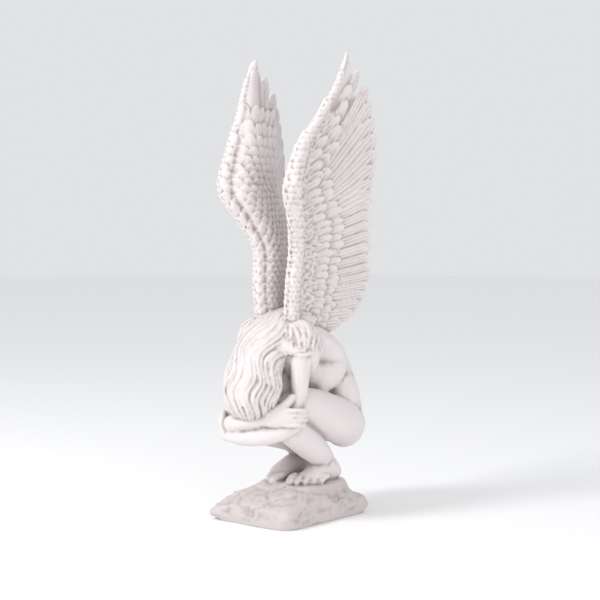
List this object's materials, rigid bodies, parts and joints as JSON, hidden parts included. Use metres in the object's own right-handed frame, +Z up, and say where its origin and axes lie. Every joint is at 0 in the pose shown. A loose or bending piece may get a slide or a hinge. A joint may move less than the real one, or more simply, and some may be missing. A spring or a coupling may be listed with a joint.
{
  "type": "cemetery angel statue",
  "caption": "Crouching winged figure with bowed head and long hair, arms folded round its knees, tall raised wings, on a rock mound; a free-standing memorial statue.",
  "frame": {"origin": "centre of the rock's flat underside", "axes": "+Z up along the raised wings, the figure faces -Y, its left side is +X"},
  "size_m": [0.2012, 0.2732, 0.741],
  "materials": {
    "bonded_marble": "matt cast marble and resin, white, with a slightly warm grey tone on the rock"
  },
  "bodies": {
    "root": {"angel_statue": "bonded_marble"}
  },
  "joints": []
}
